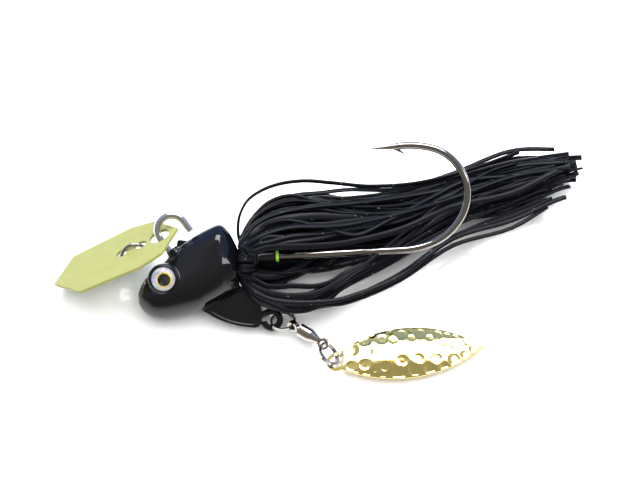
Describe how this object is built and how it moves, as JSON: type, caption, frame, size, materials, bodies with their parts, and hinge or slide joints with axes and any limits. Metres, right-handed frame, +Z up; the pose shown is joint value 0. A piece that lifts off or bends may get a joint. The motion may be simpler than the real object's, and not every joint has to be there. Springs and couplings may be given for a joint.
{
  "type": "bladed jig lure with spinner",
  "caption": "Fishing lure: frog-shaped lead head on a wide-gap hook, chartreuse vibrating blade, black silicone skirt and a hammered gold willow spinner on a swivel.",
  "frame": {"origin": "on the table under the middle of the bounding box of the lure, which lies on its right side", "axes": "+X from the vibrating blade towards the skirt's tail, +Y towards the hook point, +Z up from the table; the hook's plane leans 30 degrees from the table"},
  "size_m": [0.1003, 0.0487, 0.02],
  "materials": {
    "head_paint": "gloss black powder paint under clear coat, on cast lead",
    "hook_nickel": "polished black nickel on steel wire",
    "eye_foil": "holographic silver film printed with a yellow ring and a black pupil",
    "eye_resin": "clear domed resin",
    "blade_paint": "satin chartreuse gold paint on steel plate",
    "ring_steel": "bright stainless wire",
    "swivel_nickel": "polished nickel plate on brass",
    "bearing_steel": "hardened steel balls",
    "skirt_silicone": "glossy black silicone strands with fine glitter",
    "band_rubber": "glossy black rubber",
    "sleeve_rubber": "satin black heat-shrink tube",
    "bead_lime": "lime green translucent plastic",
    "spinner_gold": "hammered gold plate"
  },
  "bodies": {
    "lure_body": {"head_casting": "head_paint", "hook": "hook_nickel", "keel_eyelet": "head_paint", "left_eye_foil": "eye_foil", "right_eye_foil": "eye_foil", "left_eye_dome": "eye_resin", "right_eye_dome": "eye_resin", "skirt_band": "band_rubber", "keeper_sleeve": "sleeve_rubber", "keeper_bead": "bead_lime", "skirt_tab_upper": "skirt_silicone", "skirt_tab_lower": "skirt_silicone"},
    "chatter_blade": {"vibrating_blade": "blade_paint"},
    "line_tie": {"line_tie_ring": "ring_steel"},
    "upper_ring": {"upper_split_ring": "ring_steel"},
    "swivel_pin": {"swivel_post": "swivel_nickel"},
    "swivel_barrel": {"swivel_body": "swivel_nickel", "swivel_cap": "swivel_nickel", "swivel_balls": "bearing_steel"},
    "lower_ring": {"lower_split_ring": "ring_steel"},
    "spinner": {"willow_blade": "spinner_gold"}
  },
  "joints": [
    {"name": "blade_swing", "type": "hinge", "parent": "lure_body", "child": "chatter_blade", "pos_m": [-0.02985, 0.00209, 0.01035], "axis": [-0.5835, 0.7033, 0.406], "range_deg": [-30, 35]},
    {"name": "line_tie_swing", "type": "hinge", "parent": "chatter_blade", "child": "line_tie", "pos_m": [-0.03536, 0.00067, 0.00837], "axis": [-0.9072, -0.3086, -0.2861], "range_deg": [-20, 20]},
    {"name": "upper_ring_swing", "type": "hinge", "parent": "lure_body", "child": "upper_ring", "pos_m": [-0.00846, -0.01138, 0.00257], "axis": [-0.2625, -0.9177, 0.2982], "range_deg": [-20, 8]},
    {"name": "swivel_swing", "type": "hinge", "parent": "upper_ring", "child": "swivel_pin", "pos_m": [-0.00434, -0.01302, 0.0031], "axis": [0.4982, 0.8249, -0.2672], "range_deg": [-30, 30]},
    {"name": "swivel_spin", "type": "hinge", "parent": "swivel_pin", "child": "swivel_barrel", "pos_m": [-0.00181, -0.01461, 0.00289], "axis": [0.8436, -0.5323, -0.0703], "continuous": true},
    {"name": "lower_ring_swing", "type": "hinge", "parent": "swivel_barrel", "child": "lower_ring", "pos_m": [0.00148, -0.01669, 0.00261], "axis": [-0.3453, -0.6382, 0.6881], "range_deg": [-30, 20]},
    {"name": "spinner_swing", "type": "hinge", "parent": "lower_ring", "child": "spinner", "pos_m": [0.00398, -0.02001, 0.00119], "axis": [0.3406, 0.7711, -0.5379], "range_deg": [-15, 24]}
  ]
}
